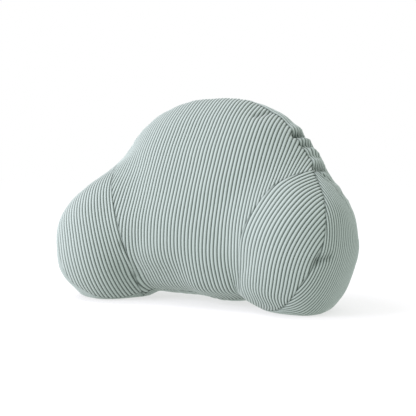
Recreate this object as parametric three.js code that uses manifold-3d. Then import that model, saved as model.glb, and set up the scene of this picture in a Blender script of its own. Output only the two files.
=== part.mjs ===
// A lumbar pillow with two short arms, sewn from wide-wale corduroy and stuffed firm.
// Millimetres, +Z up. The front of the pillow faces -Y, and it stands on the undersides of its two arms.
// The origin is on the floor, under the middle of the pillow.
import * as THREE from "three";
import { mergeVertices } from "three/addons/utils/BufferGeometryUtils.js";
import Module from "manifold-3d";

// Driving dimensions

// The domed middle: a rounded form whose half sizes differ to the front, back, top and bottom. A fullness of
// 2 is a plain ellipsoid, more is boxier, and less thins out to a lens, as cloth does towards its edge seam.
const MIDDLE = {
  centre: new THREE.Vector3(0, 16.8, 91.8),
  halfWidth: 180.3,
  front: 103.7,
  back: 84.8,
  up: 200.5,
  down: 86,
  fullness: { across: 2.73, along: 1.67, up: 1.95, down: 2.06, mean: 2.1 },
  leanBack: 0.16, // how far the form shifts back for each millimetre of height
  meanRadius: 100,
};

// The right arm, before it is turned. The left arm is its mirror image.
const ARM = {
  centre: new THREE.Vector3(142.3, -11.3, 66.4),
  halfWidth: 77.5,
  front: 94.7,
  back: 66,
  up: 107.2,
  down: 78.8,
  fullness: { across: 2.17, along: 2.17, up: 2.17, down: 2.17, mean: 2.17 },
  toeOut: THREE.MathUtils.degToRad(14.6), // turned about the vertical, its front away from the middle
  splay: THREE.MathUtils.degToRad(17), // turned about the front-to-back line, its top away from the middle
  meanRadius: 80,
};

// Where an arm meets the middle the cloth spans the hollow, widely at the shoulder and tightly near the floor.
const HOLLOW = { low: 8.8, high: 46.5, lowAt: 30.4, highAt: 130.4 };

// Three points on the inner seam, between the middle front panel and the arm front panel.
const INNER_SEAM = [
  new THREE.Vector3(124.8, -60.6, 165),
  new THREE.Vector3(97.1, -85.6, 114),
  new THREE.Vector3(85.3, -47.6, 19),
];

// Three points on the mitre, the pointed seam between the arm front panel and the arm side panel.
const MITRE_SEAM = [
  new THREE.Vector3(170, -14.4, 183),
  new THREE.Vector3(203.5, -75.6, 113),
  new THREE.Vector3(175, -93.6, 33),
];

const EDGE_SEAM_Y = 13; // the seam round the whole edge, between the front panels and the back panel

const WALE_PITCH = 5.3; // from the crest of one rib of the corduroy to the next
const WALE_CREST = 0.6; // how far a crest stands out from the mean surface
const WALE_GROOVE = -0.9; // how far a groove sinks below it
const LAST_WALE_DIP = THREE.MathUtils.degToRad(17); // the last wale of an arm front panel faces this far down

const FRONT_REACH = 178; // how far to each side the middle front panel runs, at the shoulders
const BACK_SECTIONS = 20; // sections of the plain back panel, from its middle to one end
const END_CAP = 1; // how far the back panel's last section stays inside the tip of the arm
const SEAM_LAP = 0.4; // how far an arm panel's solid runs under its neighbour
const MIDDLE_SIDES = 26; // points round each section of the middle front panel
const BACK_SIDES = 36; // points round each section of the back panel
const ARM_SIDES = 22; // points round each section of an arm
const REACH = 500; // longer than any line from inside the pillow to its surface
const SEEK_STEP = 6; // first, coarse step of the search for the surface
const ARC_STEPS = 400; // steps along an arm's arc when its wales are spaced out
const LEAST_SHARE = 0.0015; // least distance between two sections, as a share of the way to the arm's tip
const SEARCH_DEGREES = 2; // fineness of the search for an arm's tip
const CLOTH_COLOUR = 0xa4b1ac;

const POLE = new THREE.Vector3(0, 1, 0);
const ACROSS = new THREE.Vector3(1, 0, 0);
const FORWARD = new THREE.Vector3(0, -1, 0);
const UP = new THREE.Vector3(0, 0, 1);
const MIDDLE_CORE = new THREE.Vector3(0, 19.5, 125); // a point deep inside, from which every side is in sight

// The filled form

// How far a point lies outside (+) or inside (-) one rounded form, about in millimetres.
function outsideForm(form, across, along, height) {
  const { fullness } = form;
  const depth = along < 0 ? form.front : form.back;
  const rise = height > 0 ? form.up : form.down;
  const sum =
    Math.pow(Math.abs(across) / form.halfWidth, fullness.across) +
    Math.pow(Math.abs(along) / depth, fullness.along) +
    Math.pow(Math.abs(height) / rise, height > 0 ? fullness.up : fullness.down);
  return (Math.pow(sum, 1 / fullness.mean) - 1) * form.meanRadius;
}

function outsideMiddle(p) {
  const height = p.z - MIDDLE.centre.z;
  const along = p.y - MIDDLE.centre.y - MIDDLE.leanBack * height;
  return outsideForm(MIDDLE, p.x - MIDDLE.centre.x, along, height);
}

function outsideArm(p) {
  const x = Math.abs(p.x) - ARM.centre.x;
  const y = p.y - ARM.centre.y;
  const z = p.z - ARM.centre.z;
  const turned = x * Math.cos(ARM.toeOut) + y * Math.sin(ARM.toeOut);
  const along = -x * Math.sin(ARM.toeOut) + y * Math.cos(ARM.toeOut);
  const across = turned * Math.cos(ARM.splay) - z * Math.sin(ARM.splay);
  const height = turned * Math.sin(ARM.splay) + z * Math.cos(ARM.splay);
  return outsideForm(ARM, across, along, height);
}

// The whole pillow: the middle and the arms, with the hollow between them filled to a smooth valley.
function outsidePillow(p) {
  const middle = outsideMiddle(p);
  const arm = outsideArm(p);
  const share = THREE.MathUtils.smoothstep(p.z, HOLLOW.lowAt, HOLLOW.highAt);
  const width = THREE.MathUtils.lerp(HOLLOW.low, HOLLOW.high, share);
  const near = Math.max(width - Math.abs(middle - arm), 0) / width;
  return Math.min(middle, arm) - (near * near * width) / 4;
}

// The distance from a point inside the pillow to its surface, along a direction.
function distanceToSurface(from, direction) {
  const probe = new THREE.Vector3();
  const outsideAt = (t) =>
    outsidePillow(probe.copy(direction).multiplyScalar(t).add(from));
  let far = SEEK_STEP;
  while (outsideAt(far) < 0 && far < REACH) far += SEEK_STEP;
  let near = far - SEEK_STEP;
  while (far - near > 1e-3) {
    const middle = (near + far) / 2;
    if (outsideAt(middle) < 0) near = middle;
    else far = middle;
  }
  return far;
}

// Sections and lofts

const wasm = await Module();
wasm.setup();

function solidOf(geometry) {
  const merged = mergeVertices(geometry, 1e-3);
  return new wasm.Manifold(
    new wasm.Mesh({
      numProp: 3,
      vertProperties: merged.attributes.position.array,
      triVerts: new Uint32Array(merged.index.array),
    }),
  );
}

// A closed solid through flat sections of the pillow. Each section has the normal of its plane, a middle
// point, from which its outline is found all round, and a relief, by which that outline stands out or sinks in.
function loft(sections, sides) {
  const points = [];
  const faces = [];
  for (const { normal, middle, relief } of sections) {
    const upright = UP.clone().addScaledVector(normal, -UP.dot(normal)).normalize();
    const sideways = new THREE.Vector3().crossVectors(upright, normal);
    for (let side = 0; side < sides; side++) {
      const angle = (2 * Math.PI * side) / sides;
      const direction = new THREE.Vector3()
        .addScaledVector(sideways, Math.cos(angle))
        .addScaledVector(upright, Math.sin(angle));
      const radius = distanceToSurface(middle, direction) + relief;
      points.push(direction.multiplyScalar(radius).add(middle));
    }
  }
  const at = (section, side) => section * sides + (side % sides);
  for (let section = 0; section + 1 < sections.length; section++) {
    for (let side = 0; side < sides; side++) {
      const a = at(section, side);
      const b = at(section, side + 1);
      const c = at(section + 1, side + 1);
      const d = at(section + 1, side);
      faces.push(a, b, d, b, c, d);
    }
  }
  const last = sections.length - 1;
  const firstHub = points.push(sections[0].middle) - 1;
  const lastHub = points.push(sections[last].middle) - 1;
  for (let side = 0; side < sides; side++) {
    faces.push(firstHub, at(0, side + 1), at(0, side));
    faces.push(lastHub, at(last, side), at(last, side + 1));
  }
  const geometry = new THREE.BufferGeometry().setFromPoints(points);
  return solidOf(geometry.setIndex(faces));
}

// Crest, groove, crest and so on, one for each section.
function waleRelief(index) {
  return index % 2 === 0 ? WALE_CREST : WALE_GROOVE;
}

// The point of an arm's surface that lies furthest along a direction.
function armTip(direction) {
  const spot = new THREE.Vector3();
  const best = new THREE.Vector3();
  let furthest = -Infinity;
  const towards = new THREE.Quaternion().setFromUnitVectors(POLE, direction);
  for (let polar = 0; polar < 90; polar += SEARCH_DEGREES) {
    for (let turn = 0; turn < 360; turn += SEARCH_DEGREES) {
      spot.setFromSphericalCoords(1, THREE.MathUtils.degToRad(polar), THREE.MathUtils.degToRad(turn));
      spot.applyQuaternion(towards);
      spot.multiplyScalar(distanceToSurface(ARM.centre, spot)).add(ARM.centre);
      if (spot.dot(direction) <= furthest) continue;
      furthest = spot.dot(direction);
      best.copy(spot);
    }
  }
  return best;
}

// The wales of an arm panel lie in planes that run evenly from a first one to a last one: side by side where
// the two are parallel, or as a fan where they are not.
function planeBetween(first, last, share) {
  const normal = first.normal.clone().lerp(last.normal, share);
  const constant = THREE.MathUtils.lerp(first.constant, last.constant, share);
  return new THREE.Plane(normal, constant).normalize();
}

function shareAt(first, last, point) {
  const past = first.distanceToPoint(point);
  return past / (past - last.distanceToPoint(point));
}

// How far from the first plane to the last the crests and grooves of an arm panel lie: half a pitch apart on
// the cloth, along the arc that starts at one point of the surface and ends at the arm's tip.
function waleShares(first, last, start, tip) {
  const from = start.clone().sub(ARM.centre).normalize();
  const to = tip.clone().sub(ARM.centre).normalize();
  const shares = [];
  let previous = null;
  let travelled = 0;
  for (let step = 0; step <= ARC_STEPS; step++) {
    const spot = from.clone().lerp(to, step / ARC_STEPS).normalize();
    spot.multiplyScalar(distanceToSurface(ARM.centre, spot)).add(ARM.centre);
    if (previous) travelled += spot.distanceTo(previous);
    previous = spot;
    const share = shareAt(first, last, spot);
    const due = travelled >= (shares.length * WALE_PITCH) / 2;
    if (due && share > (shares.at(-1) ?? -1) + LEAST_SHARE) shares.push(share);
  }
  return shares;
}

// One arm panel's solid: sections across the whole arm, from just before its first seam to the arm's tip.
function armPanel(first, lastNormal, start) {
  const tip = armTip(lastNormal);
  const last = new THREE.Plane().setFromNormalAndCoplanarPoint(lastNormal, tip);
  const run = tip.clone().sub(ARM.centre);
  const shares = waleShares(first, last, start, tip);
  shares.unshift(2 * shares[0] - shares[2]);
  const sections = shares.map((share, i) => {
    const plane = planeBetween(first, last, share);
    const along = -plane.distanceToPoint(ARM.centre) / plane.normal.dot(run);
    const middle = ARM.centre.clone().addScaledVector(run, along);
    return { normal: plane.normal, middle, relief: waleRelief(i) };
  });
  return loft(sections, ARM_SIDES);
}

const SIDE_TIP = armTip(ACROSS);

// The middle point of a section across the width: from the core of the middle out through each arm.
function hubAcross(x) {
  const reach = Math.abs(x);
  const outer = (reach - ARM.centre.x) / (SIDE_TIP.x - ARM.centre.x);
  const hub =
    outer < 0
      ? MIDDLE_CORE.clone().lerp(ARM.centre, reach / ARM.centre.x)
      : ARM.centre.clone().lerp(SIDE_TIP, outer);
  return hub.setX(x);
}

function frontPanel() {
  const sections = [];
  const count = Math.floor((2 * FRONT_REACH) / WALE_PITCH);
  for (let i = -count; i <= count; i++) {
    const x = (i * WALE_PITCH) / 2;
    sections.push({ normal: ACROSS, middle: hubAcross(x), relief: waleRelief(Math.abs(i)) });
  }
  return loft(sections, MIDDLE_SIDES);
}

function backPanel() {
  const sections = [];
  for (let i = -BACK_SECTIONS; i <= BACK_SECTIONS; i++) {
    const x = (SIDE_TIP.x - END_CAP) * Math.sin((Math.PI / 2) * (i / BACK_SECTIONS));
    sections.push({ normal: ACROSS, middle: hubAcross(x), relief: 0 });
  }
  return loft(sections, BACK_SIDES);
}

// The part of a solid on the side of a plane to which its normal points.
function keepBeyond(solid, normal, offset) {
  return solid.trimByPlane(normal.toArray(), offset);
}

function planeThrough(points, towards) {
  const plane = new THREE.Plane().setFromCoplanarPoints(...points);
  return plane.normal.dot(towards) < 0 ? plane.negate() : plane;
}

// The left arm is the right arm mirrored: its points change sides and its faces are turned over.
function mirrored(solid) {
  const mesh = solid.getMesh();
  const points = Float32Array.from(mesh.vertProperties, (v, i) => (i % 3 === 0 ? -v : v));
  const faces = Uint32Array.from(mesh.triVerts, (v, i) => mesh.triVerts[i - (i % 3) + 2 - (i % 3)]);
  return new wasm.Manifold(new wasm.Mesh({ numProp: 3, vertProperties: points, triVerts: faces }));
}

// The pillow

const inner = planeThrough(INNER_SEAM, ACROSS); // its normal points to the arm
const mitre = planeThrough(MITRE_SEAM, ACROSS); // its normal points to the arm side panel
const leftInner = inner.normal.clone().setX(-inner.normal.x);
const lastWale = new THREE.Vector3(Math.cos(LAST_WALE_DIP), 0, -Math.sin(LAST_WALE_DIP));
const edgeStart = new THREE.Vector3(SIDE_TIP.x, EDGE_SEAM_Y, ARM.centre.z);
const edge = new THREE.Plane().setFromNormalAndCoplanarPoint(FORWARD, edgeStart);

function armSolid() {
  const behindMitre = mitre.normal.clone().negate();
  const front = keepBeyond(armPanel(inner, lastWale, INNER_SEAM[1]), behindMitre, mitre.constant);
  const side = keepBeyond(armPanel(edge, FORWARD, edgeStart), mitre.normal, -mitre.constant - SEAM_LAP);
  const both = keepBeyond(front.add(side), inner.normal, -inner.constant - SEAM_LAP);
  return keepBeyond(both, FORWARD, -EDGE_SEAM_Y - SEAM_LAP);
}

function pillowSolid() {
  const back = keepBeyond(backPanel(), FORWARD.clone().negate(), EDGE_SEAM_Y);
  let front = keepBeyond(frontPanel(), FORWARD, -EDGE_SEAM_Y - SEAM_LAP);
  front = keepBeyond(front, inner.normal.clone().negate(), inner.constant);
  front = keepBeyond(front, leftInner.clone().negate(), inner.constant);
  const arm = armSolid();
  const whole = back.add(front).add(arm).add(mirrored(arm));
  return keepBeyond(whole, UP, 0);
}

const pillow = pillowSolid();
const mesh = pillow.getMesh();
const geometry = new THREE.BufferGeometry();
geometry.setAttribute("position", new THREE.BufferAttribute(new Float32Array(mesh.vertProperties), 3));
geometry.setIndex(new THREE.BufferAttribute(new Uint32Array(mesh.triVerts), 1));
geometry.computeVertexNormals();

const cloth = new THREE.MeshStandardMaterial({ color: CLOTH_COLOUR, roughness: 0.95, metalness: 0 });
const body = new THREE.Mesh(geometry, cloth);
body.name = "pillow";

const group = new THREE.Group();
group.add(body);

export default group;
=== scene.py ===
# %% [markdown]
# A lumbar pillow in wide-wale corduroy: a domed middle with a short, stuffed arm at each side. The
# imported part is loaded first. It gives the size and place of everything.

# %% Load the imported part
import math

import bmesh
import bpy
import numpy as np
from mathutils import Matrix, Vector


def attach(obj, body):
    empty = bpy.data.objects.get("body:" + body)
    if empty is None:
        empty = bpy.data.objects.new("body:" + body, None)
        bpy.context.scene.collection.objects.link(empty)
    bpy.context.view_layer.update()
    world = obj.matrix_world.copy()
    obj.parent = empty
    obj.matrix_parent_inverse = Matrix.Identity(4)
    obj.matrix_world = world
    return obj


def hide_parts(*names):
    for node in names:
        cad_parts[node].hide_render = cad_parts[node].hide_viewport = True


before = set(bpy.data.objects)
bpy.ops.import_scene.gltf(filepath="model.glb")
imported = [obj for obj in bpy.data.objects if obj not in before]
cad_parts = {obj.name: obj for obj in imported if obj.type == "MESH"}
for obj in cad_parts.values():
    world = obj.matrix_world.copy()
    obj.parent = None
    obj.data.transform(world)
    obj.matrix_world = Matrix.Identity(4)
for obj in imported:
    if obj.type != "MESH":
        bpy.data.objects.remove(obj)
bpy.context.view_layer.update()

MM = 0.001  # the sizes below are millimetres, and Blender's are metres

# %% [markdown]
# The filling gives the pillow its form: a domed middle and two arms, each round and full, with
# cloth spanning the hollow between them. The form could be sculpted, but a few sizes are easier to
# read and to change: a centre, how far the cloth reaches from it each way, and how full it is. The
# arm's sizes are those of the right one, and the left is its mirror image.

# %% Sizes of the filling
MIDDLE = {
    "centre": (0, 16.8, 91.8),
    "half_width": 180.3,
    "front": 103.7,
    "back": 84.8,
    "up": 200.5,
    "down": 86,
    "fullness": {"across": 2.73, "along": 1.67, "up": 1.95, "down": 2.06, "mean": 2.1},
    "lean_back": 0.16,
    "mean_radius": 100,
}
ARM = {
    "centre": (142.3, -11.3, 66.4),
    "half_width": 77.5,
    "front": 94.7,
    "back": 66,
    "up": 107.2,
    "down": 78.8,
    "fullness": {"across": 2.17, "along": 2.17, "up": 2.17, "down": 2.17, "mean": 2.17},
    "toe_out": math.radians(14.6),
    "splay": math.radians(17),
    "mean_radius": 80,
}
HOLLOW = {"low": 8.8, "high": 46.5, "low_at": 30.4, "high_at": 130.4}  # rounder higher up
print("middle, mm:", 2 * MIDDLE["half_width"], "wide and", MIDDLE["front"] + MIDDLE["back"], "deep")

# %% [markdown]
# Blender's cloth solver could blow such a form up from a box, but the remesh that comes first would
# lose every rib of the corduroy. So the form is a formula that says how far a point lies outside
# the pillow, and each panel can be laid on it rib by rib. Where the middle and an arm come close to
# each other, the formula fills the corner between them, as cloth spans it.


# %% The stuffed form
def smoothstep(value, low, high):
    share = np.clip((value - low) / (high - low), 0, 1)
    return share * share * (3 - 2 * share)


def outside_form(form, across, along, height):
    """A fullness of 2 is an ellipsoid, more is boxier, and less thins out to a lens."""
    full = form["fullness"]
    depth = np.where(along < 0, form["front"], form["back"])
    rise = np.where(height > 0, form["up"], form["down"])
    total = np.abs(across / form["half_width"]) ** full["across"]
    total = total + np.abs(along / depth) ** full["along"]
    total = total + np.abs(height / rise) ** np.where(height > 0, full["up"], full["down"])
    return (total ** (1 / full["mean"]) - 1) * form["mean_radius"]


def outside_middle(points):
    x, y, z = (points - MIDDLE["centre"]).T
    return outside_form(MIDDLE, x, y - MIDDLE["lean_back"] * z, z)


def outside_arm(points):
    x, y, z = (np.abs(points) * (1, 0, 0) + points * (0, 1, 1) - ARM["centre"]).T
    toe, splay = ARM["toe_out"], ARM["splay"]
    turned = x * math.cos(toe) + y * math.sin(toe)
    along = y * math.cos(toe) - x * math.sin(toe)
    across = turned * math.cos(splay) - z * math.sin(splay)
    height = turned * math.sin(splay) + z * math.cos(splay)
    return outside_form(ARM, across, along, height)


def outside_pillow(points):
    middle, arm = outside_middle(points), outside_arm(points)
    share = smoothstep(points[:, 2], HOLLOW["low_at"], HOLLOW["high_at"])
    width = HOLLOW["low"] + (HOLLOW["high"] - HOLLOW["low"]) * share
    near = np.maximum(width - np.abs(middle - arm), 0) / width
    return np.minimum(middle, arm) - near * near * width / 4


print("middle's centre lies inside by, mm:", -outside_pillow(np.array([MIDDLE["centre"]])).round(1))

# %% [markdown]
# Two tools work on that formula. One gives its slope, which points straight out of the cloth. The
# other follows lines from inside the pillow until they come out, as a Shrinkwrap modifier does
# against a mesh. There is no mesh yet, so each line is followed in steps, and the last step is
# halved again and again.

# %% Lines from the filling to the cloth
ACROSS, BACKWARD, UPRIGHT = np.array([1.0, 0, 0]), np.array([0, 1.0, 0]), np.array([0, 0, 1.0])
FORWARD = -BACKWARD


def slope_of(points, field=outside_pillow):
    step = 0.5
    gaps = [field(points + axis) - field(points - axis) for axis in np.eye(3) * step]
    return np.stack(gaps, axis=1) / (2 * step)


def reach_surface(start, direction, field=outside_pillow):
    """Where lines from inside the pillow come out of it."""
    seek, steps, halvings = 6.0, 90, 22
    start = np.broadcast_to(start, direction.shape)
    far = np.full(len(direction), seek)
    for _ in range(steps):
        inside = field(start + direction * far[:, None]) < 0
        if not inside.any():
            break
        far[inside] += seek
    near = far - seek
    for _ in range(halvings):
        half = (near + far) / 2
        inside = field(start + direction * half[:, None]) < 0
        near, far = np.where(inside, half, near), np.where(inside, far, half)
    return start + direction * far[:, None]


dome_top = reach_surface(np.array(MIDDLE["centre"]), UPRIGHT[None])
print("cloth above the middle's centre, mm:", dome_top[0].round(1))

# %% [markdown]
# The panels of cloth are sewn together. The inner seam parts the middle from an arm, the mitre is
# the pointed seam on the arm where the ribs turn, and the edge seam runs round the whole pillow,
# with a band of cloth behind it. A seam could be a curve drawn on a mesh, but a plane is easier to
# cut along. So each is a plane with a few soft bends in it: the edge seam wanders back over the
# dome and forward at the shoulders, along the arms and underneath, and left and right bow
# differently, as handwork does.

# %% The seams
MIRROR = np.array([-1.0, 1, 1])
INNER_POINTS = np.array([(124.8, -60.6, 165), (97.1, -85.6, 114), (85.3, -47.6, 19)])
MITRE_POINTS = np.array([(170, -14.4, 183), (203.5, -75.6, 113), (175, -93.6, 33)])
EDGE_SEAM_Y, BAND_WIDTH = 13, 42


def bend(by, at, over):
    """A shift of the seam at a height up its plane, which dies out over so much height."""
    return {"by": by, "at": at, "over": over}


EDGE_BENDS = [
    bend(by=26, at=288, over=45),  # back over the dome
    bend(by=20, at=300, over=12),  # and over its very top
    bend(by=-14, at=185, over=13),  # forward at the shoulder
    bend(by=-20, at=138, over=44),  # and along the arm
    bend(by=-34, at=0, over=76),  # and forward again under the pillow
]
RIGHT_INNER_BENDS = [
    bend(by=9, at=84, over=38),
    bend(by=9, at=52, over=14),
    bend(by=9, at=228, over=16),
]
LEFT_INNER_BENDS = [bend(by=-10, at=236, over=29)]
RIGHT_MITRE_BENDS = [
    bend(by=3.4, at=115, over=34),
    bend(by=-2.5, at=52, over=16),
    bend(by=2.8, at=14, over=12),
]
LEFT_MITRE_BENDS = [bend(by=5, at=25, over=35)]


def plane_through(corners):
    """The plane's normal, pointing away from the middle of the pillow, and its distance."""
    normal = np.cross(corners[1] - corners[0], corners[2] - corners[0])
    normal = normal / np.linalg.norm(normal) * np.sign(normal @ ACROSS)
    return normal, normal @ corners[0]


def seam_of(normal, at, bends):
    """A seam in a plane, bent along the plane's normal at some heights up the plane."""
    rise = UPRIGHT - normal * (UPRIGHT @ normal)
    return {"normal": normal, "at": at, "rise": rise / np.linalg.norm(rise), "bends": bends}


RIGHT_INNER = seam_of(*plane_through(INNER_POINTS), RIGHT_INNER_BENDS)
RIGHT_MITRE = seam_of(*plane_through(MITRE_POINTS), RIGHT_MITRE_BENDS)
# the left seams are drawn on the right too, until their panels are mirrored
LEFT_INNER = seam_of(*plane_through(INNER_POINTS), LEFT_INNER_BENDS)
LEFT_MITRE = seam_of(*plane_through(MITRE_POINTS), LEFT_MITRE_BENDS)
MIRRORED_INNER = seam_of(LEFT_INNER["normal"] * MIRROR, LEFT_INNER["at"], LEFT_INNER_BENDS)
EDGE = seam_of(BACKWARD, EDGE_SEAM_Y, EDGE_BENDS)
BACK_EDGE = seam_of(BACKWARD, EDGE_SEAM_Y + BAND_WIDTH, EDGE_BENDS)
print("inner seam faces", RIGHT_INNER["normal"].round(2))
print("mitre faces", RIGHT_MITRE["normal"].round(2))

# %% [markdown]
# The cloth rolls in at a seam, so each point has to know how far it lies from it. Straight across
# the plane is near enough for most seams. The edge seam crosses the cloth at a slant, so the
# distance to it is measured along the cloth. The same bends also turn a straightened pillow into
# the bent one.

# %% Measuring from a seam
LEAST_SLANT = 0.3  # holds the distance down where the cloth runs almost along the seam's plane


def bend_of(seam, points):
    height = points @ seam["rise"]
    shift = np.zeros(len(points))
    for row in seam["bends"]:
        shift = shift + row["by"] * np.exp(-(((height - row["at"]) / row["over"]) ** 2))
    return shift


def past(seam, points):
    return points @ seam["normal"] - seam["at"] - bend_of(seam, points)


def past_on_cloth(seam, points):
    """How far past a seam the points lie, measured along the cloth."""

    def past_seam(spots):
        return past(seam, spots)

    outward = slope_of(points)
    outward = outward / np.linalg.norm(outward, axis=1)[:, None]
    across = slope_of(points, past_seam)
    across = across - outward * np.sum(across * outward, axis=1)[:, None]
    return past(seam, points) / np.maximum(np.linalg.norm(across, axis=1), LEAST_SLANT)


def bent(seam, points, share=1):
    """Points of a straightened pillow, moved to where the bent seam has them (1), or back (-1)."""
    return points + np.outer(bend_of(seam, points) * share, seam["normal"])


print("edge seam bends back over the dome by, mm:", bend_of(EDGE, dome_top).round(1))

# %% [markdown]
# A wale is one rib of the corduroy: a rounded crest between two narrow grooves. A bump texture
# could draw it, but the outline and the seams would stay smooth. So each wale gets a few columns of
# points, one in the groove and more on the crest. Beside a seam the stuffed cloth rolls in to the
# stitches, steeply at the last.

# %% Wales and seam rolls
PITCH = 5.3
SIDE_PITCH = 3.9  # the side panels are eased into their seams, so their wales lie closer
CREST, GROOVE = 0.6, -1.0
COLUMNS = (0.0, 0.14, 0.32, 0.5, 0.68, 0.86)  # shares of a wale, from its groove
ROUNDNESS = 0.7
FLAT_ROLL = {"width": 2.6, "depth": 0.7}  # at the inner seam and the mitre
SLIGHT_ROLL = {"width": 2.6, "depth": 0.25}  # at the left mitre, which hardly shows
EDGE_ROLL = {"width": 4, "depth": 0.8}
SEAM_LAP = 1.5  # how far a panel runs on past its seam, under its neighbour


def wale_height(wale):
    return GROOVE + (CREST - GROOVE) * np.abs(np.sin(np.pi * wale)) ** ROUNDNESS


def seam_roll(distance, roll=FLAT_ROLL):
    """How deep the cloth lies at a distance inside its own seam, and on past the stitches."""
    share = 1 - np.clip(distance, 0, roll["width"]) / roll["width"]
    beyond = np.clip(-distance, 0, 2 * SEAM_LAP) / roll["width"]
    return roll["depth"] * (1 - np.sqrt(1 - share**2)) + FLAT_ROLL["depth"] * 2 * beyond


def columns_of(bounds):
    """Wale numbers and places of all columns, from the place of each groove."""
    wales = len(bounds) - 1
    numbers = np.append((np.arange(wales)[:, None] + COLUMNS).ravel(), wales)
    return numbers, np.interp(numbers, np.arange(wales + 1), bounds)


print("heights across a wale, mm:", wale_height(np.array(COLUMNS)).round(2))

# %% [markdown]
# Each panel starts as a grid that is rolled into a tube and closed at both ends. The grid's columns
# run along the wales, each in a plane of its own, and its rows go round. Every point is sent from
# the middle of its section out to the cloth, and then raised or lowered by its wale and by the
# seams near it. Only the vertices of one bmesh grid are moved, so the faces and the order of the
# ribs come for free.

# %% Rolling a panel
MERGE = 1e-7  # in metres: points that lie on each other become one


def ring_directions(normals, degrees):
    """Directions round each section, one row of them for each plane normal."""
    upright = UPRIGHT - normals * (normals @ UPRIGHT)[:, None]
    upright = upright / np.linalg.norm(upright, axis=1)[:, None]
    sideways = np.cross(upright, normals)
    turn = np.radians(degrees)[None, :, None]
    return np.cos(turn) * sideways[:, None] + np.sin(turn) * upright[:, None]


def rolled_panel(bounds, sections_at, degrees, sink, field=outside_pillow):
    """A closed tube of wales. sections_at gives the middle and the normal of each column's section,
    degrees the rows round it, and sink how deep the cloth is drawn in."""
    numbers, places = columns_of(bounds)
    hubs, normals = sections_at(places)
    rays = ring_directions(normals, degrees)
    columns, rows = len(numbers), len(degrees)
    bm = bmesh.new()
    bmesh.ops.create_grid(bm, x_segments=columns + 1, y_segments=rows, size=1.0)
    column = np.tile(np.arange(columns + 2), rows + 1)
    row = np.repeat(np.arange(rows + 1), columns + 2) % rows
    inner = np.clip(column - 1, 0, columns - 1)
    spots = reach_surface(hubs[inner], rays[inner, row], field)
    slope = slope_of(spots, field)
    outward = slope / np.linalg.norm(slope, axis=1)[:, None]
    relief = wale_height(numbers[inner]) - sink(spots)
    spots = spots + outward * relief[:, None]
    at_end = (column == 0) | (column == columns + 1)
    spots = np.where(at_end[:, None], hubs[inner], spots)
    for vertex, spot in zip(bm.verts, spots * MM):
        vertex.co = spot
    bmesh.ops.remove_doubles(bm, verts=bm.verts[:], dist=MERGE)
    bmesh.ops.recalc_face_normals(bm, faces=bm.faces[:])
    return bm


def rows_of(*stretches):
    """Degrees round a section, from stretches of (first, last, step)."""
    return np.concatenate([np.arange(*stretch) for stretch in stretches])


first_row, quarter_row = ring_directions(ACROSS[None], np.array([0.0, 90.0]))[0]
print("rows start towards", first_row.round(1), "and turn to", quarter_row.round(1))

# %% [markdown]
# The part of a panel that another one covers is cut away with bisect_plane, and the cut is closed,
# so each panel is a solid slab of the pillow with its ribs on the outside. A Boolean with a big box
# would cut too, but a plane leaves one clean rim to fill. A bent seam is cut by straightening the
# panel, cutting it along the plane and bending it again.

# %% Cutting a panel along its seams
LITRE = 0.001  # in cubic metres
panels = {}


def bend_mesh(bm, seam, share):
    """Bends a panel with its seam (1), or straightens it again (-1)."""
    spots = np.array([vertex.co for vertex in bm.verts]) / MM
    for vertex, spot in zip(bm.verts, bent(seam, spots, share) * MM):
        vertex.co = spot


def cut_away(bm, seam, side):
    """Cuts off what lies past a seam (side 1) or before it (side -1), and closes the cut."""
    bend_mesh(bm, seam, -1)
    everything = bm.verts[:] + bm.edges[:] + bm.faces[:]
    normal = seam["normal"] * side
    spot = seam["normal"] * (seam["at"] + SEAM_LAP * side) * MM
    cut = bmesh.ops.bisect_plane(
        bm, geom=everything, dist=MERGE, plane_co=spot, plane_no=normal, clear_outer=True
    )
    rim = [piece for piece in cut["geom_cut"] if isinstance(piece, bmesh.types.BMEdge)]
    bmesh.ops.triangle_fill(bm, edges=rim, use_beauty=False, use_dissolve=False, normal=normal)
    bmesh.ops.recalc_face_normals(bm, faces=bm.faces[:])
    bend_mesh(bm, seam, 1)


def mirrored(bm):
    bmesh.ops.scale(bm, verts=bm.verts[:], vec=MIRROR)
    bmesh.ops.reverse_faces(bm, faces=bm.faces[:])
    return bm


def lay_aside(name, bm):
    """Keeps a finished panel for the sewing, and prints what it has become."""
    panels[name] = bm
    open_edges = sum(not edge.is_manifold for edge in bm.edges)
    litres = round(bm.calc_volume() / LITRE, 2)
    print(name, "faces:", len(bm.faces), "open edges:", open_edges, "volume, l:", litres)


print("panels run on past their seams by, mm:", SEAM_LAP)

# %% [markdown]
# A section needs a middle point from which its whole outline is in sight. For upright sections
# these points run from the dome's core to the centre of an arm, and on to the arm's tip. Parallel
# sections of any other slant have theirs on one line, along the normal that they share.

# %% Sections of the pillow
ARM_CENTRE = np.array(ARM["centre"])
MIDDLE_CORE = np.array([0, 19.5, 125.0])
BAND_CORE = np.array([0, 0, 110.0])
STEP_ROUND_ARM = 5  # degrees


def around_arm():
    """Points all over the right arm."""
    turns, tilts = np.arange(0, 360, STEP_ROUND_ARM), np.arange(-90, 91, STEP_ROUND_ARM)
    turn, tilt = np.meshgrid(np.radians(turns), np.radians(tilts))
    turn, tilt = turn.ravel(), tilt.ravel()
    rays = np.stack([np.cos(tilt) * np.cos(turn), np.cos(tilt) * np.sin(turn), np.sin(tilt)], axis=1)
    return reach_surface(ARM_CENTRE, rays)


ARM_SPOTS = around_arm()
ARM_REACH = ARM_SPOTS[np.argmax(ARM_SPOTS @ ACROSS)]


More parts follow.
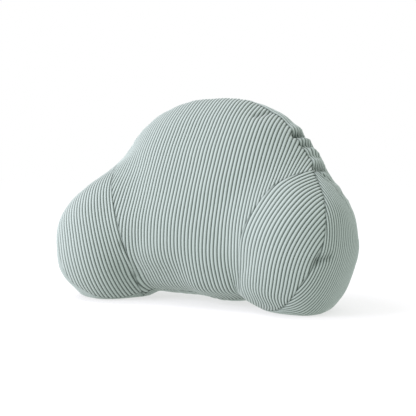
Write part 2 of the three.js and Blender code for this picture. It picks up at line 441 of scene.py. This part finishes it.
def sections_across(x):
    reach = np.abs(x)
    inner = MIDDLE_CORE + (ARM_CENTRE - MIDDLE_CORE) * (reach / ARM_CENTRE[0])[:, None]
    outer = (reach - ARM_CENTRE[0]) / (ARM_REACH[0] - ARM_CENTRE[0])
    outer = ARM_CENTRE + (ARM_REACH - ARM_CENTRE) * outer[:, None]
    hubs = np.where((reach < ARM_CENTRE[0])[:, None], inner, outer)
    hubs[:, 0] = x
    return hubs, np.tile(ACROSS, (len(x), 1))


def sections_along(normal, core):
    """Parallel sections, at distances along their common normal."""

    def sections_at(offsets):
        hubs = core + np.outer(offsets - core @ normal, normal)
        return hubs, np.tile(normal, (len(offsets), 1))

    return sections_at


print("tip of the arm, mm:", ARM_REACH.round(1))

# %% [markdown]
# The wales of an arm's front panel lie in planes that open like a fan, between a first and a last
# one, and run out into the inner seam. Parallel planes would be simpler, and the side panels have
# them, but only a fan makes the ribs sweep round the front of the arm. The two arms are sewn by
# hand and not quite alike: the left one's planes hardly open at all.


# %% The fans of the arms
def facing(turn, tilt):
    """The direction across the pillow, turned to the back and tilted upwards, in degrees."""
    turn, tilt = math.radians(turn), math.radians(tilt)
    level = math.cos(tilt)
    return np.array([level * math.cos(turn), level * math.sin(turn), math.sin(tilt)])


RIGHT_FAN = {
    "first": {"normal": facing(-12.5, -17.8), "at": 104.3},
    "last": {"normal": facing(1.3, -30.9), "at": 172.7},
    "wales": 24,  # from the first plane to the last
    "ease": 0.14,  # how much further apart they lie at the first plane
    "even_at": 0.22,  # where they lie evenly, as a share of the way to the last
}
LEFT_FAN = {
    "first": {"normal": facing(-17, -15.4), "at": 119.2},
    "last": {"normal": facing(-16.7, -13.6), "at": 170.7},
    "wales": 9.4,
    "ease": -0.035,
    "even_at": 0.44,
}
SIDE_NORMAL = facing(-101.8, 16.9)
RIGHT_ARM = {"fan": RIGHT_FAN, "inner": RIGHT_INNER, "mitre": RIGHT_MITRE, "roll": FLAT_ROLL}
LEFT_ARM = {"fan": LEFT_FAN, "inner": LEFT_INNER, "mitre": LEFT_MITRE, "roll": SLIGHT_ROLL}


def sections_of_fan(fan):
    first, last = fan["first"], fan["last"]

    def sections_at(shares):
        normals = np.outer(1 - shares, first["normal"]) + np.outer(shares, last["normal"])
        offsets = first["at"] * (1 - shares) + last["at"] * shares
        along = (offsets - normals @ ARM_CENTRE) / (normals @ ACROSS)
        hubs = ARM_CENTRE + np.outer(along, ACROSS)
        return hubs, normals / np.linalg.norm(normals, axis=1)[:, None]

    return sections_at


def share_of(fan, points):
    """How far a point lies between the first and the last plane of the fan."""
    before = points @ fan["first"]["normal"] - fan["first"]["at"]
    after = points @ fan["last"]["normal"] - fan["last"]["at"]
    return before / (before - after)


for side, fan in (("right", RIGHT_FAN), ("left", LEFT_FAN)):
    opening = math.degrees(math.acos(fan["first"]["normal"] @ fan["last"]["normal"]))
    print(side, "fan opens by", round(opening, 1), "degrees over", fan["wales"], "wales")

# %% [markdown]
# Wales are one pitch apart on the cloth, not in plan, so they crowd together where it curves away.
# Even steps in plan would be shorter to write, but would stretch the ribs at the sides. So on an
# arm's side the pitch is stepped off along the cloth, round the outside of the arm. The wales of
# the fan are eased instead: they lie further apart at one side than at the other.

# %% Spacing the wales of the arms
SPARE_WALES = 2  # beyond each end of a panel, for the cut
FAN_RANGE = (-1.2, 1.7)  # shares of the fan that are looked through for wales
SIDE_TURNS = np.arange(0, 170, 0.5)  # degrees, from an arm's front round its outside


def arc_lengths(spots):
    return np.append(0, np.cumsum(np.linalg.norm(np.diff(spots, axis=0), axis=1)))


def arm_front_bounds(arm):
    """Shares of the fan for the grooves of all wales between the inner seam and the mitre."""
    fan, inner = arm["fan"], arm["inner"]
    on_panel = (past(inner, ARM_SPOTS) > -SEAM_LAP) & (past(arm["mitre"], ARM_SPOTS) < SEAM_LAP)
    needed = share_of(fan, bent(inner, ARM_SPOTS[on_panel], -1))
    even = np.arange(FAN_RANGE[0] * fan["wales"], FAN_RANGE[1] * fan["wales"]) / fan["wales"]
    shares = even * (1 + fan["ease"] * (1 - even / (2 * fan["even_at"])))
    margin = SPARE_WALES / fan["wales"]
    return shares[(shares > needed.min() - margin) & (shares < needed.max() + margin)]


def arm_side_bounds(arm):
    """Distances of the side panel's grooves, one pitch apart round the outside of the arm."""
    turn = np.radians(SIDE_TURNS)
    outward = ACROSS - SIDE_NORMAL * (ACROSS @ SIDE_NORMAL)
    outward = outward / np.linalg.norm(outward)
    rays = np.outer(np.cos(turn), SIDE_NORMAL) + np.outer(np.sin(turn), outward)
    spots = reach_surface(ARM_CENTRE, rays)
    offsets = spots @ SIDE_NORMAL
    front = np.argmax(offsets)
    wales = arc_lengths(spots[front:]) / SIDE_PITCH
    grooves = np.interp(np.arange(1, int(wales[-1])), wales, offsets[front:])
    on_panel = (past(arm["mitre"], ARM_SPOTS) > -SEAM_LAP) & (past(EDGE, ARM_SPOTS) < SEAM_LAP)
    needed = ARM_SPOTS[on_panel & (past(arm["inner"], ARM_SPOTS) > -SEAM_LAP)] @ SIDE_NORMAL
    margin = SPARE_WALES * PITCH
    return grooves[(grooves > needed.min() - margin) & (grooves < needed.max() + margin)]


for side, arm in (("right", RIGHT_ARM), ("left", LEFT_ARM)):
    print(side, "arm wales:", len(arm_front_bounds(arm)) - 1, "and", len(arm_side_bounds(arm)) - 1)

# %% [markdown]
# The upright wales of the middle and the back are stepped off along the cloth in the same way. On
# the middle that could be done at any height. It is done at the shoulder, where the cloth curves
# away most and the spacing shows, and on the back from end to end. One half is worked out and then
# mirrored, so that a groove lies on the centre line.

# %% Spacing the upright wales
SHOULDER_Y, SHOULDER_Z = 23.0, 130.0
SPACED_TO = 150  # beyond this the last spacing is kept
TIP_GAP = 1  # the back's last section stays inside the arm's tip
SAMPLES = 1500


def both_sides(right):
    return np.concatenate([-right[:0:-1], right])


def middle_bounds():
    """Places of the middle's grooves, one pitch apart on its cloth at shoulder height."""
    x = np.linspace(0, SPACED_TO, SAMPLES)
    start = np.stack([x, np.full_like(x, SHOULDER_Y), np.full_like(x, SHOULDER_Z)], axis=1)
    spots = reach_surface(start, np.tile(FORWARD, (len(x), 1)), outside_middle)
    wales = arc_lengths(spots) / PITCH
    grooves = np.interp(np.arange(int(wales[-1]) + 1), wales, x)
    further = np.arange(grooves[-1], MIDDLE["half_width"], grooves[-1] - grooves[-2])
    return both_sides(np.append(grooves[:-1], further))


def back_bounds():
    x = np.linspace(0, ARM_REACH[0] - TIP_GAP, SAMPLES)
    spots = reach_surface(sections_across(x)[0], np.tile(BACKWARD, (len(x), 1)))
    wales = arc_lengths(spots) / PITCH
    return both_sides(np.interp(np.arange(int(wales[-1]) + 1), wales, x))


print("middle wales:", len(middle_bounds()) - 1, "back wales:", len(back_bounds()) - 1)

# %% [markdown]
# The middle front panel is the largest one, with upright wales over the whole dome. It could be cut
# to its own outline first, as a tailor would. It is rolled right across instead, and what lies
# behind the edge seam and past the two inner seams is cut off, so its ribs run straight into those
# seams.

# %% The middle front panel
FRONT_ROWS = rows_of((60, 76, 4), (76, 108, 1.3), (108, 264, 3), (264, 420, 15))


def middle_front():
    def sink(points):
        inner = np.minimum(-past(RIGHT_INNER, points), -past(MIRRORED_INNER, points))
        return seam_roll(inner) + seam_roll(-past_on_cloth(EDGE, points), EDGE_ROLL)

    bm = rolled_panel(middle_bounds(), sections_across, FRONT_ROWS, sink)
    for seam in (EDGE, RIGHT_INNER, MIRRORED_INNER):
        cut_away(bm, seam, 1)
    return bm


lay_aside("middle_front", middle_front())

# %% [markdown]
# An arm has two panels. The front one is a crescent whose wales run up from its foot and into the
# inner seam, and the side one has wales that go round with the edge. They meet in the pointed
# mitre. Both arms are made on the right, and the left one's panels are then mirrored, with the
# normals turned back outwards.

# %% The arm panels
ARM_FRONT_ROWS = rows_of((60, 300, 3), (300, 420, 20))
ARM_SIDE_ROWS = rows_of((-150, 116, 3.25), (120, 210, 15))


def arm_front(arm):
    inner, mitre = arm["inner"], arm["mitre"]

    def straight(points):
        return outside_pillow(bent(inner, points))

    def sink(points):
        points = bent(inner, points)
        return seam_roll(past(inner, points)) + seam_roll(-past(mitre, points), arm["roll"])

    sections = sections_of_fan(arm["fan"])
    bm = rolled_panel(arm_front_bounds(arm), sections, ARM_FRONT_ROWS, sink, straight)
    bend_mesh(bm, inner, 1)
    cut_away(bm, EDGE, 1)
    cut_away(bm, mitre, 1)
    cut_away(bm, inner, -1)
    return bm


def arm_side(arm):
    inner, mitre = arm["inner"], arm["mitre"]

    def sink(points):
        rolls = seam_roll(past(mitre, points), arm["roll"]) + seam_roll(past(inner, points))
        return rolls + seam_roll(-past_on_cloth(EDGE, points), EDGE_ROLL)

    sections = sections_along(SIDE_NORMAL, ARM_CENTRE)
    bm = rolled_panel(arm_side_bounds(arm), sections, ARM_SIDE_ROWS, sink)
    cut_away(bm, EDGE, 1)
    cut_away(bm, mitre, -1)
    cut_away(bm, inner, -1)
    return bm


lay_aside("right_arm_front", arm_front(RIGHT_ARM))
lay_aside("right_arm_side", arm_side(RIGHT_ARM))
lay_aside("left_arm_front", mirrored(arm_front(LEFT_ARM)))
lay_aside("left_arm_side", mirrored(arm_side(LEFT_ARM)))

# %% [markdown]
# Behind the edge seam a band of cloth goes round the whole pillow, its wales along its length. On
# the right of the dome it shows as a puckered strip. A swept strip would do for a flat edge. This
# one has to follow the bends of its seam, so it is rolled straight and then bent along with it.

# %% The band round the edge
BAND_ROWS = np.arange(0, 360, 1.5)
BAND_WALES = np.arange(-1, BAND_WIDTH // PITCH + 3)  # with a spare one in front and a few behind


def band():
    def straight(points):
        return outside_pillow(bent(EDGE, points))

    def sink(points):
        points = bent(EDGE, points)
        front, rear = past_on_cloth(EDGE, points), -past_on_cloth(BACK_EDGE, points)
        return seam_roll(front, EDGE_ROLL) + seam_roll(rear, EDGE_ROLL)

    bounds = EDGE_SEAM_Y + PITCH * BAND_WALES
    bm = rolled_panel(bounds, sections_along(BACKWARD, BAND_CORE), BAND_ROWS, sink, straight)
    bend_mesh(bm, EDGE, 1)
    cut_away(bm, EDGE, -1)
    cut_away(bm, BACK_EDGE, 1)
    return bm


lay_aside("band", band())

# %% [markdown]
# The back is one plain panel with upright wales, from arm to arm. It could be mirrored from one
# half, but a panel that is rolled right across has no join down its middle. Only what lies before
# the band's second seam is cut off. Its rows lie closer where the cloth bends over the top.

# %% The back panel
BACK_ROWS = rows_of((-116, 52, 5), (52, 80, 2), (80, 116, 5), (120, 244, 20))


def back():
    def sink(points):
        return seam_roll(past_on_cloth(BACK_EDGE, points), EDGE_ROLL)

    bm = rolled_panel(back_bounds(), sections_across, BACK_ROWS, sink)
    cut_away(bm, BACK_EDGE, -1)
    return bm


lay_aside("back", back())

# %% [markdown]
# A plain core lies under all the panels, as the stuffing does, so that no hollow is left where they
# meet. It could be a copy of the pillow scaled down, but sections at a fixed depth below the cloth
# keep the same distance everywhere. None of it shows, so a few rows and sections are enough.

# %% The stuffing
CORE_ROWS = np.arange(0, 360, 10.0)
CORE_DEPTH = 9
CORE_SECTIONS = 15


def stuffing():
    def core(points):
        return outside_pillow(points) + CORE_DEPTH

    def no_sink(points):
        return np.zeros(len(points))

    bounds = np.linspace(-1, 1, CORE_SECTIONS) * (ARM_REACH[0] - 2 * CORE_DEPTH)
    return rolled_panel(bounds, sections_across, CORE_ROWS, no_sink, core)


lay_aside("stuffing", stuffing())

# %% [markdown]
# The panels and the stuffing are joined into one closed mesh. They could be left as loose pieces
# that only overlap, but a Boolean union keeps nothing but the outside, and the seams become real
# valleys where two panels roll in. Points that almost touch are merged, so that no sliver of a face
# is left on a seam.

# %% Sewing the panels together
SLIVER = 0.004  # small enough to leave every rib as it is
SEWING_ORDER = (
    "stuffing",
    "back",
    "band",
    "middle_front",
    "right_arm_front",
    "right_arm_side",
    "left_arm_front",
    "left_arm_side",
)


def as_object(bm, name):
    mesh = bpy.data.meshes.new(name)
    bm.to_mesh(mesh)
    bm.free()
    made = bpy.data.objects.new(name, mesh)
    bpy.context.scene.collection.objects.link(made)
    return made


def sewn(pieces):
    first = pieces[0]
    for piece in pieces[1:]:
        join = first.modifiers.new(piece.name, "BOOLEAN")
        join.operation, join.solver, join.object = "UNION", "MANIFOLD", piece
    depsgraph = bpy.context.evaluated_depsgraph_get()
    whole = bpy.data.meshes.new_from_object(first.evaluated_get(depsgraph))
    for piece in pieces:
        bpy.data.objects.remove(piece)
    return whole


def without_slivers(mesh):
    bm = bmesh.new()
    bm.from_mesh(mesh)
    bmesh.ops.remove_doubles(bm, verts=bm.verts[:], dist=SLIVER * MM)
    bmesh.ops.triangulate(bm, faces=bm.faces[:])
    print("open edges of the cover:", sum(not edge.is_manifold for edge in bm.edges))
    bm.to_mesh(mesh)
    bm.free()


cover = sewn([as_object(panels[name], name) for name in SEWING_ORDER])
without_slivers(cover)
cover.name = "corduroy_pillow"
print("cover:", len(cover.vertices), "points,", len(cover.polygons), "triangles")

# %% [markdown]
# A stuffed pillow is not perfect. The folds and swells that catch the eye are listed one by one:
# each is a soft trough or ridge along a line between two points, with a width and a height.
# Sculpting would give the same, but a row of numbers can be read and changed. A crease is narrow,
# and its depth is also painted into the colour as shade. A swell is broad, and only makes the
# filling fuller or less full.


# %% Folds, listed one by one
def fold(start, end, width, height):
    run = np.subtract(end, start)
    return {"start": np.array(start), "run": run, "width": width, "height": height}


CREASES = [
    fold((129, 20, 239), (137, 50, 237), width=5, height=-9),  # the band's gathers
    fold((140, 18, 223), (150, 41, 224), width=4, height=-5),
    fold((153, 16, 207), (160, 38, 208), width=4, height=-1.4),
    fold((164, 0, 190), (172, 26, 193), width=5, height=-6.5),
    fold((174, 1, 185), (186, 12, 177), width=3.5, height=-5),
    fold((198, -5, 162), (213, -7, 142), width=2.4, height=-2.2),  # the edge seam on the arm
    fold((213, -7, 142), (221, -5, 118), width=2, height=-1.2),
    fold((200, 0, 160), (202, 22, 157), width=4, height=-2.5),
    fold((72, 12, 267), (84, 30, 275), width=6, height=-2.5),  # a dimple near the dome's top
    fold((201, -85, 82), (195, -89, 68), width=4.2, height=-2.4),  # the pinch in the mitre
    fold((199, -86, 75), (211, -73, 79), width=4.5, height=-3),
    fold((-90, -88, 86), (-83, -60, 32), width=3.2, height=-2.6),  # low on the left seam
]
SWELLS = [
    fold((-75, -72, 40), (-22, -72, 38), width=34, height=-7.5),  # less full: low on the front
    fold((-44, -24, 12), (-12, -24, 11), width=22, height=-3.5),  # under the middle
    fold((-196, -62, 20), (-168, -72, 9), width=20, height=-4.5),  # at the left foot
    fold((-198, -46, 138), (-188, -46, 150), width=18, height=-2.5),  # at the left shoulder
    fold((70, 34, 281), (110, 36, 263), width=26, height=-4.6),  # right of the dome's top
    fold((-175, -20, 150), (-128, 8, 204), width=26, height=-6),  # left of the dome
    fold((-205, -60, 30), (-205, 5, 25), width=34, height=2.8),  # fuller: the left arm's side
    fold((-60, -82, 122), (-20, -82, 120), width=36, height=4.5),  # the middle of the front
    fold((22, -68, 20), (74, -66, 19), width=24, height=8.5),  # the foot of the middle
    fold((42, -12, 9), (66, -8, 8), width=24, height=4.2),  # and under it
    fold((80, -82, 52), (74, -72, 26), width=22, height=3.5),  # beside the right inner seam
    fold((180, -62, 3), (196, -52, 4), width=18, height=4),  # the right foot
    fold((-97, -6, 1), (-90, 2, 4), width=14, height=4),  # the left foot's inner side
    fold((226, -15, 92), (224, -15, 72), width=24, height=4),  # the right arm's side
    fold((-32, 46, 292), (2, 47, 292), width=20, height=1.6),  # the dome's top
    fold((135, 28, 231), (140, 38, 230), width=6, height=2.5),  # the band, between its gathers
    fold((150, 28, 216), (158, 38, 209), width=6, height=4),
    fold((162, 14, 203), (168, 38, 202), width=9, height=3.4),
    fold((191, 10, 168), (192, 24, 167), width=7, height=1.8),
    fold((206, 6, 150), (206, 24, 149), width=8, height=1.8),
    fold((184, 16, 175), (207, 15, 148), width=15, height=-2.6),
    fold((122, 34, 249), (126, 48, 247), width=7, height=2),
]


def rise_of(folds, points):
    """How far the cloth is pushed out, or drawn in, by troughs and ridges."""
    shift = np.zeros(len(points))
    for row in folds:
        from_start, run = points - row["start"], row["run"]
        share = np.clip(from_start @ run / (run @ run), 0, 1)
        away = np.linalg.norm(from_start - np.outer(share, run), axis=1)
        shift = shift + row["height"] * np.exp(-((away / row["width"]) ** 2))
    return shift


print("creases:", len(CREASES), "swells:", len(SWELLS))

# %% [markdown]
# The rest of the unevenness is spread all over. The cloth puckers where it is gathered into the
# edge seam, and the filling makes soft lumps. Noise could do both, but sine waves of a real size
# repeat exactly, need no seed, and can follow the seam round the pillow. A wandering start keeps
# the puckers from looking ruled.

# %% Puckers and lumps
PUCKER = {"spacing": 21, "height": 1.2, "back_reach": 20, "front_reach": 6}
PUCKER_SHAPE = {"roundness": 0.7, "level": 0.65}  # round tops and narrow valleys, level on average
PUCKER_PATH = {
    "radius": 140,  # makes a length along the edge of an angle round the dome
    "wander": 7,
    "wanders": 9.0,  # in a full turn
    "left_start": 40,  # so that left and right differ
}
LUMP = {"size": 70, "height": 0.7, "sway": 1.3, "sway_along": 0.7}
LUMP_WAVES = [
    {"x": 0.9, "y": 0, "z": 0, "start": 0, "sways": True},
    {"x": 0, "y": 1.1, "z": 0.8, "start": 2, "sways": False},
    {"x": -0.6, "y": 0, "z": 1.2, "start": 4, "sways": False},
]


def puckers(points):
    path = PUCKER_PATH
    turn = np.arctan2(points[:, 2] - MIDDLE_CORE[2], np.abs(points[:, 0]))
    along = turn * path["radius"] + path["wander"] * np.sin(turn * path["wanders"])
    along = along + path["left_start"] * (points[:, 0] < 0)
    wave = np.abs(np.sin(np.pi * along / PUCKER["spacing"])) ** PUCKER_SHAPE["roundness"]
    beyond = past(EDGE, points)
    reach = np.where(beyond > 0, PUCKER["back_reach"], PUCKER["front_reach"])
    return PUCKER["height"] * (wave - PUCKER_SHAPE["level"]) * np.exp(-np.abs(beyond) / reach)


def lumps(points):
    x, y, z = points.T * (2 * np.pi / LUMP["size"])
    sway = LUMP["sway"] * np.sin(z * LUMP["sway_along"])
    total = np.zeros(len(points))
    for wave in LUMP_WAVES:
        along = x * wave["x"] + y * wave["y"] + z * wave["z"] + wave["start"]
        total = total + np.sin(along + sway * wave["sways"])
    return LUMP["height"] * total / len(LUMP_WAVES)


print("puckers up to, mm:", PUCKER["height"], "lumps up to, mm:", LUMP["height"])

# %% [markdown]
# Now the cloth takes its shape. Every point moves along the outward direction of the form by the
# sum of all folds and waves, and what would lie under the floor is pressed flat on it, with a soft
# edge. Before it moves, each point's height above the plain form is kept in an attribute on the
# mesh, with the depth of the creases added: the material reads it later and paints shade into the
# grooves, the seam valleys and the creases.

# %% Shaping the cloth
FLOOR_ROUNDING = 4
CREASE_SHADE = 0.12  # painted shade: how far a crease's depth darkens its colour


def on_floor(height):
    bowed = (height + FLOOR_ROUNDING) ** 2 / (4 * FLOOR_ROUNDING)
    return np.where(height > FLOOR_ROUNDING, height, np.where(height < -FLOOR_ROUNDING, 0, bowed))


points = np.empty(len(cover.vertices) * 3)
cover.vertices.foreach_get("co", points)
points = points.reshape(-1, 3) / MM
slope = slope_of(points)
steepness = np.linalg.norm(slope, axis=1)
creased = rise_of(CREASES, points)
# painted shade: the creases' depth is added to the height, so the material darkens them
relief = outside_pillow(points) / steepness + CREASE_SHADE * creased
shift = creased + rise_of(SWELLS, points) + puckers(points) + lumps(points)
points = points + slope / steepness[:, None] * shift[:, None]
points[:, 2] = on_floor(points[:, 2])
cover.vertices.foreach_set("co", (points * MM).ravel())
cover.attributes.new("relief", "FLOAT", "POINT").data.foreach_set("value", relief)
cover.polygons.foreach_set("use_smooth", np.ones(len(cover.polygons), bool))
cover.update()
print("shift, mm:", shift.min().round(1), "to", shift.max().round(1))
print("relief, mm:", relief.min().round(2), "to", relief.max().round(2))

# %% [markdown]
# Colours are picked as sRGB hex values, as they look on a screen. Blender's shaders reckon in
# linear light, so one function converts them. Nodes could be added and linked one by one, in many
# lines. Instead, one more small function adds a node together with its settings and links.


# %% Colours and nodes
def linear_colour(code):
    channels = [int(code[i : i + 2], 16) / 255 for i in (1, 3, 5)]
    return [c / 12.92 if c <= 0.04045 else ((c + 0.055) / 1.055) ** 2.4 for c in channels] + [1.0]


def add_node(tree, kind, settings=(), links=()):
    """A node with its settings, by attribute or input name, and its links, input to output."""
    node = tree.nodes.new(kind)
    for name, value in dict(settings).items():
        if hasattr(node, name):
            setattr(node, name, value)
        else:
            node.inputs[name].default_value = value
    for name, output in dict(links).items():
        tree.links.new(output, node.inputs[name])
    return node


# crest: the cloth's own colour; groove: painted shade for grooves, seam valleys and creases
GROOVE_SHADE_COLOUR, CREST_COLOUR = "#3E4B44", "#A7B5AD"
print("crest colour, linear:", np.round(linear_colour(CREST_COLOUR)[:3], 3))

# %% [markdown]
# Cotton corduroy: cut pile stands up in wales on a woven ground. The pile is matt and soft, its
# tips catch the light and the grooves between wales lie in shade. A striped texture would have to
# follow every panel. The height that was kept on the mesh already does, so it mixes the cloth's
# colour on the crests with a darker one, painted shade for the grooves, seam valleys and creases.
# Fine noise roughens the pile, and a little sheen lights it up where it is seen edge on.

# %% The corduroy
# painted shade: the darker groove colour covers all up to this height
DARK_TO = GROOVE + 0.2  # the groove's colour reaches this height
# real tufts are finer than this, but would not show
TUFT = {"size": 1.2, "height": 0.4, "strength": 0.25, "detail": 3.0}
PILE = {"Roughness": 0.92, "Specular IOR Level": 0.2, "Sheen Weight": 0.25, "Sheen Roughness": 0.5}


def corduroy():
    """Cut cotton pile: matt, with painted shade in its grooves, and a little bright where seen edge
    on.
    """
    made = bpy.data.materials.new("cotton_corduroy")
    made.use_nodes = True
    tree = made.node_tree
    tree.nodes.clear()
    place = add_node(tree, "ShaderNodeTexCoord").outputs["Object"]
    height = add_node(tree, "ShaderNodeAttribute", {"attribute_name": "relief"}).outputs["Fac"]
    # painted shade: low places get the darker groove colour, by the height kept on the mesh
    crest_share = add_node(
        tree, "ShaderNodeMapRange", {"From Min": DARK_TO, "From Max": CREST}, {"Value": height}
    )
    tint = add_node(
        tree,
        "ShaderNodeMix",
        {"data_type": "RGBA", "A": linear_colour(GROOVE_SHADE_COLOUR), "B": linear_colour(CREST_COLOUR)},
        {"Factor": crest_share.outputs["Result"]},
    )
    tufts = add_node(
        tree,
        "ShaderNodeTexNoise",
        {"Scale": 1 / (TUFT["size"] * MM), "Detail": TUFT["detail"]},
        {"Vector": place},
    )
    bump = add_node(
        tree,
        "ShaderNodeBump",
        {"Strength": TUFT["strength"], "Distance": TUFT["height"] * MM},
        {"Height": tufts.outputs["Fac"]},
    )
    surface = add_node(
        tree,
        "ShaderNodeBsdfPrincipled",
        PILE,
        {"Base Color": tint.outputs["Result"], "Normal": bump.outputs["Normal"]},
    )
    add_node(tree, "ShaderNodeOutputMaterial", links={"Surface": surface.outputs["BSDF"]})
    return made


cover.materials.clear()
cover.materials.append(corduroy())
print("material:", cover.materials[0].name)

# %% [markdown]
# The dressed pillow takes the place of the plain solid and follows the same body. The solid could
# be hidden by hand, but here a call hides it.

# %% The pillow's place in the part
pillow = bpy.data.objects.new("corduroy_pillow", cover)
bpy.context.scene.collection.objects.link(pillow)
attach(pillow, "root")
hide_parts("pillow")
print("dressed piece:", pillow.name)

# %% [markdown]
# The studio floor is white and has no edge in sight. A white plane alone turns grey at a distance
# and under the pillow, so this one gives off part of its light itself, and only soft shadows are
# left on it.

# %% Floor
FLOOR_SIZE, FLOOR_DROP = 12.0, 0.0003  # in metres
bm = bmesh.new()
bmesh.ops.create_grid(bm, x_segments=1, y_segments=1, size=FLOOR_SIZE / 2)
bmesh.ops.translate(bm, verts=bm.verts[:], vec=(0, 0, -FLOOR_DROP))
floor = as_object(bm, "floor")
paint = bpy.data.materials.new("white_floor")
paint.use_nodes = True
for name, value in {
    "Base Color": linear_colour("#A6A6A6"),
    "Roughness": 1.0,
    "Specular IOR Level": 0.0,
    "Emission Color": linear_colour("#FFFFFF"),
    "Emission Strength": 0.62,
}.items():
    paint.node_tree.nodes["Principled BSDF"].inputs[name].default_value = value
floor.data.materials.append(paint)
print("floor, m:", FLOOR_SIZE)

# %% [markdown]
# An even white surround lights the pillow from all sides. On its own it would look flat, so two
# large, soft and slightly cool lights give it form: a low key light from the front left, which
# brings out the ribs, and a weaker one from above. The Standard view keeps the colours as they were
# picked.

# %% Surround and lights
LIGHT_SIZE, LIGHT_AIM, LIGHT_COLOUR = 1.2, (0, 0, 0.12), "#F4EBFF"
LIGHTS = {
    "key": {"place": (-1.45, -1.75, 0.9), "watts": 46},
    "top": {"place": (-1.2, -0.4, 2.2), "watts": 24},
}

world = bpy.data.worlds.new("studio")
world.use_nodes = True
world.node_tree.nodes["Background"].inputs["Color"].default_value = linear_colour("#FFFFFF")
world.node_tree.nodes["Background"].inputs["Strength"].default_value = 1.0
bpy.context.scene.world = world
bpy.context.scene.view_settings.view_transform = "Standard"

for name, light in LIGHTS.items():
    lamp = bpy.data.lights.new(name, "AREA")
    lamp.shape, lamp.size, lamp.energy = "DISK", LIGHT_SIZE, light["watts"]
    lamp.color = linear_colour(LIGHT_COLOUR)[:3]
    holder = bpy.data.objects.new(name, lamp)
    bpy.context.scene.collection.objects.link(holder)
    holder.location = light["place"]
    towards = Vector(LIGHT_AIM) - Vector(light["place"])
    holder.rotation_euler = towards.to_track_quat("-Z", "Y").to_euler()
    print(name, "light, W:", light["watts"])

# %% [markdown]
# The camera stands a little above the pillow's middle and to its right. It is aimed at a point
# inside the pillow and set back from it along a direction, which is easier to adjust than a place
# and three angles. A small shift moves the picture without turning the camera.

# %% Camera
AZIMUTH, ELEVATION = math.radians(26.36), math.radians(4.01)
DISTANCE, AIM = 1.2701, Vector((0, 0.0134, 0.110))  # in metres
LENS, SENSOR = 75.27, 36  # in millimetres, as on a real camera
SHIFT = (-0.0065, 0.0378)  # shares of the picture's width
NEAREST = 0.05  # in metres: what is closer to the camera is not drawn
camera = bpy.data.objects.new("camera", bpy.data.cameras.new("camera"))
bpy.context.scene.collection.objects.link(camera)
level = math.cos(ELEVATION)
outward = Vector((math.sin(AZIMUTH) * level, -math.cos(AZIMUTH) * level, math.sin(ELEVATION)))
camera.location = AIM + outward * DISTANCE
camera.rotation_euler = (-outward).to_track_quat("-Z", "Y").to_euler()
camera.data.sensor_width, camera.data.lens = SENSOR, LENS
camera.data.shift_x, camera.data.shift_y = SHIFT
camera.data.clip_start = NEAREST
bpy.context.scene.camera = camera
print("camera, m:", [round(place, 3) for place in camera.location])
